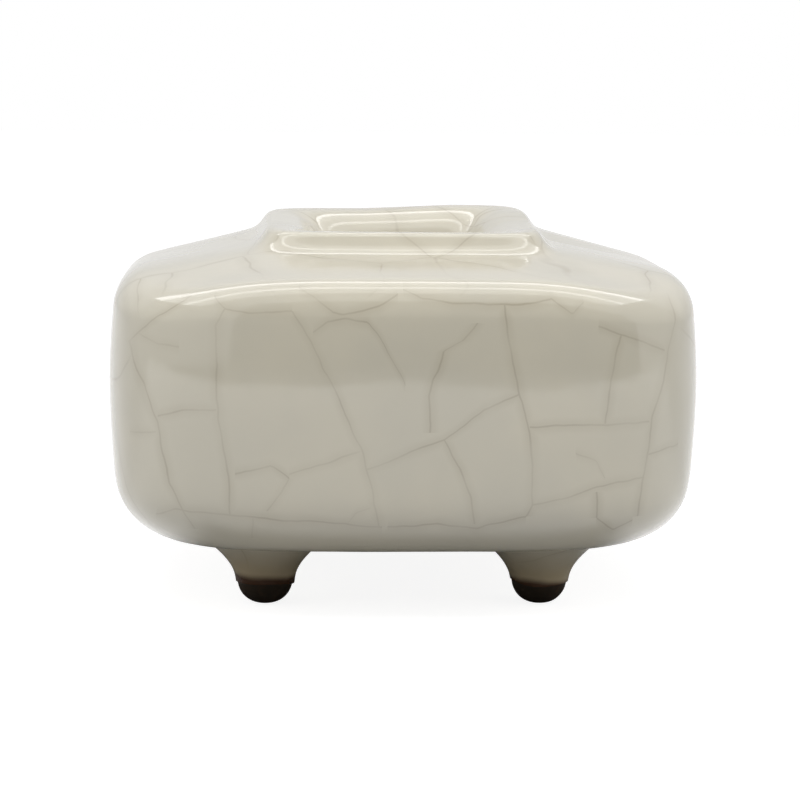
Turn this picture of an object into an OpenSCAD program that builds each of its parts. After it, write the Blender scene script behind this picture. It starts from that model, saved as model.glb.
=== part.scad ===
// Square water coupe: a press-moulded clay body with a low square mouth, four nub feet and a
// thick crackle glaze. Front is -Y, up is +Z, and the origin is on the table below the middle.
// Every cross section is a superellipse, a square whose corners are rounded by one exponent.

/* [Body] */
// Width over the glaze at the widest level, where the two clay halves meet
body_w = 90; // [70:1:120]
// How far the lower wall draws in from the widest level to the underside, on each side
base_draw = 1.4; // [0.2:0.1:5]
// How far the upper wall draws in from the widest level to the shoulder, on each side
shoulder_draw = 1.5; // [0.1:0.1:4]
// Height of the widest level above the underside
lower_h = 26.6; // [20:0.2:40]
// Height of the shoulder corner above the widest level
upper_h = 12.6; // [10:0.2:20]
// Slope of the top, in degrees
top_slope = 11.2; // [8:0.1:20]
// Rounding of the lower edge
base_r = 8.6; // [6:0.2:10]
// Rounding of the wall at its widest level
belly_r = 100; // [60:5:120]
// Rounding of the shoulder
shoulder_r = 6.4; // [4:0.2:8]
// Exponent of the body's plan: 2 is round, and more is squarer
body_square = 4.2; // [2.5:0.05:6]
// How far the shoulder sags towards the four corners of the body
corner_sag = 2; // [0:0.1:3]
// Thickness of the clay wall
wall_t = 3.6; // [2.5:0.1:4.5]
// Thickness of the clay top
top_t = 3.2; // [2.5:0.1:4]
// Thickness of the clay floor
floor_t = 4; // [3:0.1:6]
// Rounding inside, below the shoulder
inner_shoulder_r = 5; // [3:0.5:7]
// Rounding inside, round the floor
inner_floor_r = 8; // [5:0.5:10]

/* [Mouth] */
// Width of the mouth at the rim, where its funnel starts
mouth_w = 37.4; // [32:0.2:42]
// Lean of the mouth's inside, in degrees from upright
mouth_lean = 30; // [20:1:40]
// Height of the rim above the line where the collar leaves the top
collar_h = 2.9; // [2.5:0.1:5]
// Lean of the collar's outside, in degrees from upright
collar_lean = 33; // [20:1:45]
// Width of the flat on the rim, between its roundings
rim_flat = 1.1; // [0.5:0.1:2]
// Rounding of the rim towards the outside
rim_r = 1.5; // [0.8:0.1:1.6]
// Rounding of the rim towards the mouth
lip_r = 7.5; // [5:0.1:7.6]
// Rounding of the hollow where the collar leaves the top
collar_r = 4; // [2:0.1:5]
// Rounding of the mouth's lower inside edge
mouth_edge_r = 1; // [0.8:0.05:1.1]
// Exponent of the mouth's plan
mouth_square = 7; // [4:0.1:10]

/* [Feet] */
// Height of the underside above the table
foot_h = 10.4; // [8:0.2:14]
// Flat left between a foot's glaze and the lower edge of the body, along the diagonal
foot_margin = 0.8; // [0.2:0.1:3]
// Diameter of a foot's clay where its side line meets the table
foot_tip_d = 7.6; // [6.5:0.1:10]
// Diameter of a foot's clay where its side line meets the underside
foot_top_d = 13.2; // [11:0.2:15]
// Rounding of a foot's tip
foot_tip_r = 3; // [1.5:0.1:3.2]

/* [Glaze] */
// Thickness of the glaze
glaze_t = 0.6; // [0.4:0.05:0.8]
// Height of the glaze line on the feet, below which the clay is bare
glaze_line_h = 3.4; // [2.8:0.1:5]
// Thickness of the glaze at that line
glaze_edge_t = 0.2; // [0.1:0.05:0.5]
// Diameter of the glaze on a foot where its side line meets the underside
foot_glaze_d = 16; // [15.4:0.2:18]
// Rounding of the glaze between a foot and the underside
foot_fillet_r = 7; // [4:0.2:7.4]

/* [Hidden] */
clay_colour = [0.20, 0.15, 0.12];
glaze_colour = [0.80, 0.77, 0.70];
// Points in a quarter of a ring, and how strongly they crowd towards its corner
quarter_points = 12;
corner_crowding = 1.4;
// How late along a side the shoulder starts to sag: 1 is at once
sag_delay = 3;
// Facets of a rounding in the section, large and small
large_steps = 6;
small_steps = 4;
$fn = 64;

// Levels, half widths and thicknesses of the glazed section
base_half = body_w / 2 - base_draw;
shoulder_half = body_w / 2 - shoulder_draw;
seam_z = foot_h + lower_h;
shoulder_z = seam_z + upper_h;
glazed_wall = wall_t + 2 * glaze_t;
glazed_top = top_t + 2 * glaze_t;
glazed_floor = floor_t + 2 * glaze_t;
lip_half = mouth_w / 2 - lip_r * tan(45 - mouth_lean / 2);
rim_half = mouth_w / 2 + rim_flat + rim_r * tan(45 - collar_lean / 2);
collar_half = rim_half + collar_h * tan(collar_lean);
collar_z = shoulder_z + (shoulder_half - collar_half) * tan(top_slope);
rim_z = collar_z + collar_h;

// Vector helpers for points [half width, height] of the section
function unit(v) = v / norm(v);
function left_of(v) = [-v[1], v[0]];
function cross2(a, b) = a[0] * b[1] - a[1] * b[0];

// Where the line through p along u meets the line through q along v
function meet(p, u, q, v) = p + u * cross2(q - p, v) / cross2(u, v);

// Where two lines meet after each has moved to its left: a to b by d, and b to c by e
function meet_moved(a, b, c, d, e) =
    let (u = unit(b - a), v = unit(c - b))
    meet(a + d * left_of(u), u, b + e * left_of(v), v);

// Corners of the glazed section, outside first, from the axis below to the axis inside
axis_low = [0, foot_h];
base_corner = [base_half, foot_h];
belly_corner = [body_w / 2, seam_z];
shoulder_corner = [shoulder_half, shoulder_z];
collar_corner = [collar_half, collar_z];
rim_corner = [rim_half, rim_z];
lip_corner = [lip_half, rim_z];
inner_shoulder = meet_moved(belly_corner, shoulder_corner, collar_corner, glazed_wall, glazed_top);
inner_belly = meet_moved(base_corner, belly_corner, shoulder_corner, glazed_wall, glazed_wall);
inner_floor = meet_moved(axis_low, base_corner, belly_corner, glazed_floor, glazed_wall);
mouth_edge = meet(inner_shoulder, collar_corner - shoulder_corner,
    lip_corner, [sin(mouth_lean), cos(mouth_lean)]);
axis_high = [0, foot_h + glazed_floor];

// Each corner of the section: place, rounding, exponent of its ring and facets
SECTION = [
    [axis_low, 0, body_square, 0],
    [base_corner, base_r, body_square, large_steps],
    [belly_corner, belly_r, body_square, small_steps],
    [shoulder_corner, shoulder_r, body_square, large_steps],
    [collar_corner, collar_r, mouth_square, small_steps],
    [rim_corner, rim_r, mouth_square, small_steps],
    [lip_corner, lip_r, mouth_square, large_steps],
    [mouth_edge, mouth_edge_r, mouth_square, small_steps],
    [inner_shoulder, inner_shoulder_r, body_square, large_steps],
    [inner_belly, belly_r, body_square, small_steps],
    [inner_floor, inner_floor_r, body_square, large_steps],
    [axis_high, 0, body_square, 0]
];

// Where each corner's rounding starts in the list of stations along the section
function station(corner, i = 1) = i == corner ? 0 : SECTION[i][3] + 1 + station(corner, i + 1);
BELLY = station(2) + small_steps / 2;
COLLAR = station(4) + small_steps / 2;
CREST = station(5) + small_steps;
NECK = station(6) + large_steps;
INNER_BELLY = station(9) + small_steps / 2;
LAST = station(11) - 1;

// The section moved into the clay by d: outside roundings shrink and hollow ones grow
function moved_corner(i, d) =
    let (a = SECTION[i - 1][0], b = SECTION[i][0], c = SECTION[i + 1][0])
    let (turn = sign(cross2(b - a, c - b)))
    [meet_moved(a, b, c, d, d), SECTION[i][1] - turn * d];
function moved_end(i, d) = [SECTION[i][0] + d * [0, i == 0 ? 1 : -1], 0];
function moved(d) = [for (i = [0:len(SECTION) - 1])
    i == 0 || i == len(SECTION) - 1 ? moved_end(i, d) : moved_corner(i, d)];

// Points of the rounding of radius r at corner b, between its neighbours a and c
function rounding(a, b, c, r, steps) =
    let (u = unit(a - b), v = unit(c - b))
    let (half = acos(u * v) / 2)
    let (centre = b + unit(u + v) * r / sin(half))
    let (start = b + u * r / tan(half) - centre, end = b + v * r / tan(half) - centre)
    let (sweep = 180 - 2 * half)
    [for (k = [0:steps])
        centre + (start * sin(sweep * (1 - k / steps)) + end * sin(sweep * k / steps)) / sin(sweep)];

// How far a point of the section sags at a corner of the body: all the way at the shoulder,
// and not at all at the widest level and at the mouth
function share(x, none, all) = min(max((x - none) / (all - none), 0), 1);
function sag_at(p, shoulder, mouth) =
    corner_sag * share(p[1], seam_z, shoulder[1]) * share(p[0], mouth[0], shoulder[0]);
function station_sag(i, p) = i < 7
    ? sag_at(p, shoulder_corner, collar_corner)
    : sag_at(p, inner_shoulder, collar_corner);

// All stations of the section moved by d, as [half width, height, exponent, sag at a corner]
function corner_points(m, i) =
    rounding(m[i - 1][0], m[i][0], m[i + 1][0], m[i][1], SECTION[i][3]);
function stations(d) =
    let (m = moved(d), glazed = moved(0))
    [for (i = [1:len(m) - 2])
        let (points = corner_points(m, i), origins = corner_points(glazed, i))
        for (k = [0:SECTION[i][3]])
            [points[k][0], points[k][1], SECTION[i][2], station_sag(i, origins[k])]];
GLAZED = stations(0);
CLAY = stations(glaze_t);

// Directions of the points of a ring
function crowded(s) = 45 * (1 + sign(s) * pow(abs(s), corner_crowding));
DIRECTIONS = [for (q = [0:3]) for (i = [0:quarter_points - 1])
    90 * q + crowded(2 * i / quarter_points - 1)];
RING = len(DIRECTIONS);

// A superellipse ring of half width w and exponent n
function ring(w, n) = [for (a = DIRECTIONS)
    let (r = w / pow(pow(abs(cos(a)), n) + pow(abs(sin(a)), n), 1 / n))
    [r * cos(a), r * sin(a)]];
// How near a point of such a ring is to its corner: 0 at the middle of a side, 1 at the corner
function corner_share(p, w, n) = share(norm(p) / w, 1, pow(2, 0.5 - 1 / n));
function ring_at(s) = [for (p = ring(s[0], s[2]))
    [p[0], p[1], s[1] - s[3] * pow(corner_share(p, s[0], s[2]), sag_delay)]];
function pick(list, from, to) = [for (i = [from:sign(to - from):to]) list[i]];

// Two triangles of each facet between rings a and b: flipped swaps the diagonal
function band(a, b, flipped) = [for (i = [0:RING - 1])
    let (j = (i + 1) % RING)
    let (p = a * RING + i, q = a * RING + j, r = b * RING + j, s = b * RING + i)
    each flipped ? [[p, s, q], [q, s, r]] : [[p, r, q], [p, s, r]]];

// A shell through two runs of stations: up the first run, back down the second.
// Closed shells join their ends too, and the others are capped flat above and below.
module shell(first, second, closed) {
    rings = [for (s = concat(first, second)) ring_at(s)];
    last = len(rings) - 1;
    sides = [for (i = [0:last - 1]) each band(i, i + 1, i >= len(first))];
    low = [for (i = [0:RING - 1]) i];
    high = [for (i = [0:RING - 1]) last * RING + RING - 1 - i];
    ends = closed ? band(last, 0, false) : [low, high];
    polyhedron(points = [for (r = rings) each r], faces = concat(sides, ends), convexity = 6);
}

// A foot's clay: radius of its side line at height z, and its outline up to the clay floor
clay_top = foot_h + glaze_t;
function clay_side(z) = (foot_tip_d + (foot_top_d - foot_tip_d) * z / foot_h) / 2;
foot_head = [clay_side(clay_top), clay_top];
foot_tip = rounding([0, 0], [clay_side(0), 0], foot_head, foot_tip_r, large_steps);
foot_outline = concat([[0, 0]], foot_tip, [foot_head, [0, clay_top]]);
// The same side line, carried past both faces of the glaze that it passes through
cut_top = clay_top + glaze_t;
foot_cut = [[0, 0], [clay_side(0), 0], [clay_side(cut_top), cut_top], [0, cut_top]];

// Glaze on a foot, clay included: from the glaze line up its side and round the corner below the
// floor, where it runs into the glaze of the underside at a slight angle
run_out = 4;
glaze_mid = foot_h + glaze_t / 2;
glaze_edge = [clay_side(glaze_line_h) + glaze_edge_t, glaze_line_h];
glaze_corner = [foot_glaze_d / 2, foot_h];
glaze_away = glaze_corner + [cos(run_out), sin(run_out)];
glaze_fillet = rounding(glaze_edge, glaze_corner, glaze_away, foot_fillet_r, large_steps);
fillet_end = glaze_fillet[large_steps][0];
sleeve_outline = concat([[0, glaze_line_h], glaze_edge], glaze_fillet,
    [[fillet_end, glaze_mid], [0, glaze_mid]]);

// A foot stands on the diagonal, as far out as the flat underside carries its glaze
underside_corner = GLAZED[0][0] * pow(2, -1 / GLAZED[0][2]);
foot_place = underside_corner - (fillet_end + foot_margin) / sqrt(2);

// Clay nub with a bare tip, luted to the clay floor
module foot() {
    color(clay_colour)
        rotate_extrude()
            polygon(foot_outline);
}

module at_each_foot() {
    for (x = [-1, 1], y = [-1, 1])
        at_foot(x, y)
            children();
}

module at_foot(x, y) {
    translate([x * foot_place, y * foot_place, 0])
        children();
}

// Clay tray: floor, lower edge and the wall up to the widest level
module lower_body() {
    color(clay_colour)
        shell(pick(CLAY, 0, BELLY), pick(CLAY, INNER_BELLY, LAST), false);
}

// Clay shoulder and top, luted on the tray at the widest level
module upper_body() {
    color(clay_colour)
        shell(pick(CLAY, BELLY, COLLAR), pick(CLAY, NECK, INNER_BELLY), true);
}

// Clay collar round the mouth, luted on the top
module mouth_collar() {
    color(clay_colour)
        shell(pick(CLAY, COLLAR, CREST), pick(CLAY, CREST + 1, NECK), true);
}

module foot_front_left() {
    at_foot(-1, -1) foot();
}

module foot_front_right() {
    at_foot(1, -1) foot();
}

module foot_rear_left() {
    at_foot(-1, 1) foot();
}

module foot_rear_right() {
    at_foot(1, 1) foot();
}

// Glaze over the outside, from the lower edge to the crest of the lip
module wall_glaze() {
    color(glaze_colour)
        shell(pick(GLAZED, 0, CREST), pick(CLAY, CREST, 0), true);
}

// Glaze on the underside, in the corners round the feet and down to their glaze line
module base_glaze() {
    color(glaze_colour)
        difference() {
            union() {
                translate([0, 0, foot_h])
                    linear_extrude(glaze_t)
                        polygon(ring(GLAZED[0][0], GLAZED[0][2]));
                at_each_foot()
                    rotate_extrude()
                        polygon(sleeve_outline);
            }
            at_each_foot()
                rotate_extrude()
                    polygon(foot_cut);
        }
}

// Glaze lining, from the crest of the lip down the mouth and over the whole inside
module inner_glaze() {
    color(glaze_colour)
        shell(pick(CLAY, LAST, CREST), pick(GLAZED, CREST, LAST), false);
}

lower_body();
upper_body();
mouth_collar();
foot_front_left();
foot_front_right();
foot_rear_left();
foot_rear_right();
wall_glaze();
base_glaze();
inner_glaze();
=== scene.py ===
"""Square water coupe: its crackle glaze, its clay and a plain studio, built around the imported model."""

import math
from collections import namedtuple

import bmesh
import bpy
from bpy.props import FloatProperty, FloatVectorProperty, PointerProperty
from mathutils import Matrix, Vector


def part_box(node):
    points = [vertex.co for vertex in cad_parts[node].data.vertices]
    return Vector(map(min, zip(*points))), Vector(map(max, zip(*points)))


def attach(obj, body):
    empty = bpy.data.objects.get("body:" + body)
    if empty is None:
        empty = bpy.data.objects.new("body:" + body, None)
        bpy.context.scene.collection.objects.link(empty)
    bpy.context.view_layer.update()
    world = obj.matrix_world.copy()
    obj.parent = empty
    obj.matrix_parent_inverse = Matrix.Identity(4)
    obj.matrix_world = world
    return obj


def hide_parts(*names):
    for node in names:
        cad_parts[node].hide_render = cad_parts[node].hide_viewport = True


bl_info = {
    "name": "Square Water Coupe",
    "version": (1, 0, 0),
    "blender": (4, 5, 0),
    "location": "View3D > Sidebar > Coupe",
    "description": "Glazes a square water coupe, shapes its bare feet and sets it on a pale table",
    "category": "Object",
}

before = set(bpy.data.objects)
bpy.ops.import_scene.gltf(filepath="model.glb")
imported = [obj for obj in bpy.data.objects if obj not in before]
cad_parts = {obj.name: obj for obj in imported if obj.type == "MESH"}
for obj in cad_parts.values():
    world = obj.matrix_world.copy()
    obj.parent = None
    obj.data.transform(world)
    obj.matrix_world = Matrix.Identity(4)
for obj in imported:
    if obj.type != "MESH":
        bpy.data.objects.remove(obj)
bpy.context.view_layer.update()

MM = 0.001

# The side of the square picture in pixels, and the width of the camera's sensor in millimetres
PICTURE = 800
SENSOR = 36.0

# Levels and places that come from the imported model
WALL_LOW, WALL_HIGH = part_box("wall_glaze")
UNDERSIDE = WALL_LOW.z
RIM = WALL_HIGH.z
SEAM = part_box("upper_body")[0].z
FLOOR_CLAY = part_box("inner_glaze")[0].z
GLAZE_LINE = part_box("base_glaze")[0].z
FOOT_LOW, FOOT_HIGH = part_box("foot_front_right")
FOOT_PLACE = (FOOT_LOW.x + FOOT_HIGH.x) / 2
FOOT_TOP = FOOT_HIGH.z
FOOT_NODES = {
    "foot_front_left": (-1, -1),
    "foot_front_right": (1, -1),
    "foot_rear_left": (-1, 1),
    "foot_rear_right": (1, 1),
}

# How finely the pieces are built
RING_SEGMENTS = 24
LARGE_STEPS = 6
SMALL_STEPS = 4
SLEEVE_STEPS = 9
RING_SPACING = 4.5 * MM
FOOT_POINTS = 32

# Points nearer than this are one point, lie at one level, or belong to one ring
ONE_POINT = 0.001 * MM
ONE_LEVEL = 0.01 * MM
ONE_RING = 0.05 * MM

# Edges that turn more than this stay sharp, on a finished surface and on the hidden clay
SHARP = math.radians(50)
SHARP_CLAY = math.radians(40)

# Power that keeps the sag of the shoulder close to its corners
SAG_POWER = 3
# How the glaze on a foot narrows: its share of a plain bow, and the power of its drop
SLEEVE_BOW = 0.55
SLEEVE_POWER = 0.95
# Height of the second wave in the glaze line, beside the first
SECOND_WAVE = 0.6
# Weight of the thickness at the glaze line, where that weight starts to grow, and the share at no weight
EDGE_WEIGHT = 0.35
EDGE_HEIGHT = 0.4 * MM
THINNEST = 0.3
# Heights between which the sides of a foot start to wander, so that its tip stays flat
FLAT_TIP, FREE_SIDE = 0.05 * MM, 0.8 * MM

# Cracks on the front, each as its points across and up in millimetres
MAIN_CRACKS = (
    ((-31.7, 48.5), (-36.8, 45.4), (-40.9, 41.3), (-39.8, 38.0), (-36.5, 30.1), (-34.8, 21.4),
     (-31.1, 14.5)),
    ((-26.8, 47.0), (-28.0, 44.6), (-28.1, 34.4), (-26.4, 24.6), (-26.0, 17.1)),
    ((-28.4, 48.7), (-26.8, 47.0), (-23.3, 46.6), (-17.3, 46.9)),
    ((-17.3, 46.9), (-14.6, 42.7), (-10.5, 34.4), (-7.3, 26.9), (-5.8, 21.4), (-4.5, 15.6)),
    ((-16.2, 50.0), (-11.6, 46.7), (-10.0, 46.4), (-5.0, 47.6), (-2.3, 49.3)),
    ((-14.3, 44.0), (-12.4, 45.4), (-10.0, 45.9), (-6.5, 45.4), (-4.0, 42.1), (-1.1, 36.4)),
    ((-1.5, 50.0), (1.2, 48.7), (5.6, 48.0), (15.2, 48.0), (19.7, 48.7), (22.7, 46.4), (24.6, 48.2)),
    ((12.9, 47.9), (13.8, 42.4), (15.2, 35.0), (16.8, 29.6), (17.3, 24.6), (17.3, 19.1), (16.5, 17.3)),
    ((-3.3, 15.6), (3.8, 16.1), (9.5, 15.4), (16.5, 17.3)),
    ((9.2, 45.4), (7.2, 42.7), (4.5, 41.3), (2.9, 37.2), (2.4, 35.0), (2.6, 29.6)),
    ((26.6, 44.7), (30.3, 43.4), (33.8, 42.1), (36.8, 40.7)),
    ((30.0, 43.4), (29.0, 39.4), (27.7, 30.8)),
    ((38.0, 48.5), (38.7, 44.9), (37.4, 40.4), (36.3, 35.2), (35.0, 31.2), (34.6, 27.2), (33.1, 16.7)),
    ((16.8, 30.4), (22.2, 30.8), (27.6, 30.6), (34.6, 30.6)),
    ((34.6, 26.0), (39.5, 26.5)),
    ((-6.5, 24.3), (-3.3, 25.5), (4.5, 28.5), (10.2, 32.9), (15.2, 35.1)),
    ((4.5, 28.5), (6.9, 24.3), (8.3, 20.0), (9.1, 16.1)),
    ((17.3, 19.1), (21.9, 19.9), (26.6, 21.4), (34.0, 22.6)),
    ((26.6, 20.6), (27.0, 16.7)),
    ((27.0, 16.7), (29.7, 14.7), (32.3, 16.1)),
    ((-36.5, 31.1), (-33.2, 32.2), (-28.1, 32.8)),
    ((-25.4, 23.6), (-20.3, 24.6), (-17.6, 22.7)),
    ((-36.8, 16.4), (-34.0, 17.6), (-25.1, 17.1), (-16.2, 16.6), (-9.2, 16.0), (-4.0, 15.6)),
)
FAINT_CRACKS = (
    ((-40.9, 28.1), (-36.8, 28.6)),
    ((-39.7, 42.7), (-36.5, 41.4), (-33.2, 41.3)),
    ((-17.6, 22.7), (-20.6, 17.9)),
    ((-17.6, 23.3), (-13.0, 24.9), (-7.3, 26.9)),
    ((-9.0, 16.1), (-8.0, 17.9), (-5.8, 18.7)),
    ((-22.7, 17.0), (-23.0, 13.6)),
    ((23.7, 26.6), (26.6, 25.2), (27.9, 22.7)),
)
# The field that those cracks lie in: how far to each side of the middle, and from the table up
FIELD_SIDE = 45.0
FIELD_TOP = 60.0
# More than any distance in that field
FAR = 1000.0

# Where the cracks of the front end and the net of cracks begins: towards the back, and up
FRONT_EDGE = (-36.0, -30.0)
NET_EDGE = (-36.0, -31.0)
TOP_EDGE = (48.0, 49.5)

# Pattern of the glaze, in millimetres
CLOUD_SIZE = 22.0
NET_CELL = 21.0
NET_WAVER = 5.0
NET_BEND_SIZE = 14.0
CRACK_WIDTH = 0.3
CRACK_WAVER = 1.0
CRACK_BEND_SIZE = 5.0
STAIN_SIZE = 9.0
MITRE_WIDTH = 0.45
MITRE_DEPTHS = (2.6, 1.2)
SPECK_SPACING = 13.0
GLOSS_SIZE = 6.0
PEEL_SIZE = 1.6
# How far the edges of the thin glaze drift up and down, and where they lie above the levels of the frame
DRIFT = 0.8
THIN_FROM, THIN_TO = 1.2, 1.5
LINE_FROM, LINE_TO = 0.3, 1.6

# Scale of the net along each axis, which makes its fields taller than wide
NET_SCALE = (1.0, 1.0, 0.75)
# How strong each part of that pattern is beside a main crack or a full speck
FAINT_SHARE = 0.55
TOP_SHARE = 0.25
MITRE_SHARE = 0.8
SPECK_SHARE = 0.7
# The palest and the darkest stretches of the cracks
STAIN_SHARES = (0.18, 0.48)
# The stain that creeps out of a crack: its strength, and its reach in widths of the crack
CREEP_SHARE = 0.35
CREEP_REACH = 5.0
# A speck's radius in shares of the spacing, and the share of places without one
SPECK_RADII = (0.012, 0.03)
SPECK_GAPS = 0.6
# Roughness of the shiniest and the dullest glaze beside the middle one
GLOSS_SHARES = (0.8, 1.25)

# Grain and patches of the clay in millimetres, and its roughness
GRAIN_SIZE = 1.1
PATCH_SIZE = 5.0
CLAY_ROUGHNESS = (0.62, 0.8)

# Ranges of a noise: nearly all of it, clear clouds, light grain and light patches
NOISE = (0.3, 0.7)
CLOUDS = (0.35, 0.65)
LIGHT_GRAIN = (0.4, 0.75)
LIGHT_PATCH = (0.35, 0.7)

Corner = namedtuple("Corner", "place radius square steps")
Ring = namedtuple("Ring", "half height square shoulder mouth")
Lamp = namedtuple("Lamp", "size place aim")
Card = namedtuple("Card", "size place low high")
Shine = namedtuple("Shine", "low high level")

# Lamps that light the coupe, in metres
KEY_LAMP = Lamp((0.9, 0.6), (-0.05, -0.5, 1.0), (0, 0, 0.04))
SIDE_LAMPS = {
    "left": Lamp((0.5, 0.5), (-0.7, -0.2, 0.3), (0, 0, 0.03)),
    "right": Lamp((0.5, 0.5), (0.7, -0.2, 0.3), (0, 0, 0.03)),
}
# Glowing cards, which are painted reflections, and overhead lights that it mirrors, in metres, each card
# with its brightness low down and high up
CARDS = {
    # A dark card that paints the dark of the room in front into the glaze, and a bright one that paints a
    # glow behind
    "dark_reflection_card": Card((1.1, 0.58), (0.32, -0.5, 0.31), 0.02, 0.02),
    "glowing_reflection_card": Card((3.2, 1.3), (0, 0.9, 0.655), 0.85, 1.3),
}
SOFTBOX = Shine((-0.6, -0.22), (0.6, 0.6), 0.75)
BACK_STRIP = Shine((-0.6, 0.45), (0.6, 0.6), 0.74)
FRONT_STRIP = Shine((-0.6, 0), (0.6, 0.09), 0.74)
# Shares of a card's height between which its brightness changes
CARD_CHANGE = (0.15, 0.5)
# An area light is this many times as strong as its brightness times its area
LAMP_POWER = 4

# The table's side in metres, and its cells along one side
TABLE_SIZE = 3
TABLE_CELLS = 8
# Where its painted shine in the glaze begins: at the edge of the painted shade of the coupe, which is
# narrower at the sides, and at the end of the painted lit table in front
SHADE_EDGE = (0.037, 0.051)
SIDE_SHIFT = 0.007
FRONT_END = (-0.55, -0.45)
# Where the painted shine of the front gives way to that of the other sides
FRONT_TO_SIDES = (-0.05, 0.04)


def length(name, description, default):
    """A size in metres for the sidebar."""
    return FloatProperty(name=name, description=description, default=default, unit="LENGTH", precision=5)


def angle(name, description, degrees):
    """An angle for the sidebar, given in degrees."""
    radians = math.radians(degrees)
    return FloatProperty(name=name, description=description, default=radians, subtype="ANGLE")


def number(name, description, default):
    """A plain number for the sidebar."""
    return FloatProperty(name=name, description=description, default=default)


def colour(name, description, default):
    """A colour for the sidebar."""
    return FloatVectorProperty(name=name, description=description, default=default, subtype="COLOR",
                               min=0, max=1)


class CoupeBody(bpy.types.PropertyGroup):
    """Sizes of the glazed body."""

    half: length("Half width", "Half the width where the lower and upper wall lines meet", 45 * MM)
    base_draw: length("Base draw", "How far the lower wall draws in to the underside", 1.4 * MM)
    shoulder_draw: length("Shoulder draw", "How far the upper wall draws in to the shoulder", 1.5 * MM)
    top_slope: angle("Top slope", "Slope of the top between shoulder and collar", 11.2)
    base_round: length("Base rounding", "Rounding of the lower edge", 9.6 * MM)
    belly_round: length("Belly rounding", "Rounding of the wall at its widest level", 100 * MM)
    shoulder_round: length("Shoulder rounding", "Rounding of the shoulder", 6.4 * MM)
    square: number("Squareness", "Exponent of the plan: 2 is round, and more is squarer", 4.2)
    corner_sag: length("Corner sag", "How far the shoulder hangs lower at the four corners", 2 * MM)
    lean: number("Lean", "Slope by which the shoulder rises towards the front", 0.03)
    wall: length("Wall", "Thickness of the glazed wall", 4.8 * MM)
    top: length("Top", "Thickness of the glazed top", 4.4 * MM)
    inner_shoulder_round: length("Inner shoulder rounding", "Rounding inside below the shoulder", 5 * MM)
    inner_floor_round: length("Inner floor rounding", "Rounding inside round the floor", 8 * MM)


class CoupeMouth(bpy.types.PropertyGroup):
    """Sizes of the collar round the mouth."""

    half: length("Half width", "Half the width of the mouth where it leaves the rim", 18.7 * MM)
    funnel_lean: angle("Funnel lean", "Lean of the mouth's inside from upright", 30)
    height: length("Height", "Height of the rim above the top", 2.9 * MM)
    lean: angle("Lean", "Lean of the collar's outside from upright", 33)
    rim_flat: length("Rim flat", "Width of the flat on the rim, between its roundings", 1.1 * MM)
    rim_round: length("Rim rounding", "Rounding of the rim towards the outside", 1.5 * MM)
    lip_round: length("Lip rounding", "Rounding of the rim towards the mouth", 7.5 * MM)
    hollow: length("Hollow", "Rounding of the hollow where the collar leaves the top", 4 * MM)
    edge_round: length("Edge rounding", "Rounding of the mouth's lower inside edge", 1 * MM)
    square: number("Squareness", "Exponent of the plan of the mouth", 7)
    tilt: number("Tilt", "Slope by which the rim rises towards the back", 0.02)
    lift: length("Lift", "How far the rim's right corner at the back stands up", 0.6 * MM)


class CoupeFeet(bpy.types.PropertyGroup):
    """Sizes of the four nub feet."""

    tip: length("Tip", "Radius at which a foot's side line meets the table", 3.8 * MM)
    tip_round: length("Tip rounding", "Rounding of a foot's tip", 3.6 * MM)
    head: length("Head", "Radius of a foot's head, which the glaze hides", 5.2 * MM)
    glaze_reach: length("Glaze reach", "Radius at which a foot's glaze leaves the underside", 10.6 * MM)
    glaze_edge: length("Glaze edge", "Radius of the glaze at the glaze line", 4.5 * MM)
    wave: length("Wave", "How far the glaze line wanders up and down", 0.35 * MM)
    unevenness: length("Unevenness", "How far the clay of a foot wanders in and out", 0.1 * MM)
    unevenness_size: length("Unevenness size", "Size of the waves in the clay of a foot", 3 * MM)


class CoupeGlaze(bpy.types.PropertyGroup):
    """Thickness and colours of the glaze."""

    thickness: length("Thickness", "Thickness of the glaze", 0.55 * MM)
    unevenness: length("Unevenness", "How far the fired surface wanders in and out", 0.16 * MM)
    unevenness_size: length("Unevenness size", "Size of the waves in the fired surface", 16 * MM)
    pale: colour("Pale", "Main colour of the glaze", (0.668, 0.624, 0.505))
    grey: colour("Grey", "Cooler colour of the glaze in its clouds", (0.633, 0.595, 0.488))
    crack: colour("Crack", "Colour of the stained cracks", (0.31, 0.255, 0.165))
    speck: colour("Speck", "Colour of the small iron specks", (0.16, 0.09, 0.045))
    thin: colour("Thin", "Colour where the glaze thins on the feet", (0.42, 0.347, 0.23))
    line: colour("Line", "Colour of the glaze line", (0.055, 0.022, 0.009))
    roughness: number("Roughness", "Roughness of the glaze", 0.085)


class CoupeClay(bpy.types.PropertyGroup):
    """Colours of the fired clay."""

    dark: colour("Dark", "Main colour of the bare clay", (0.024, 0.018, 0.0125))
    brown: colour("Brown", "Lighter brown of the bare clay", (0.05, 0.03, 0.018))


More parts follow.
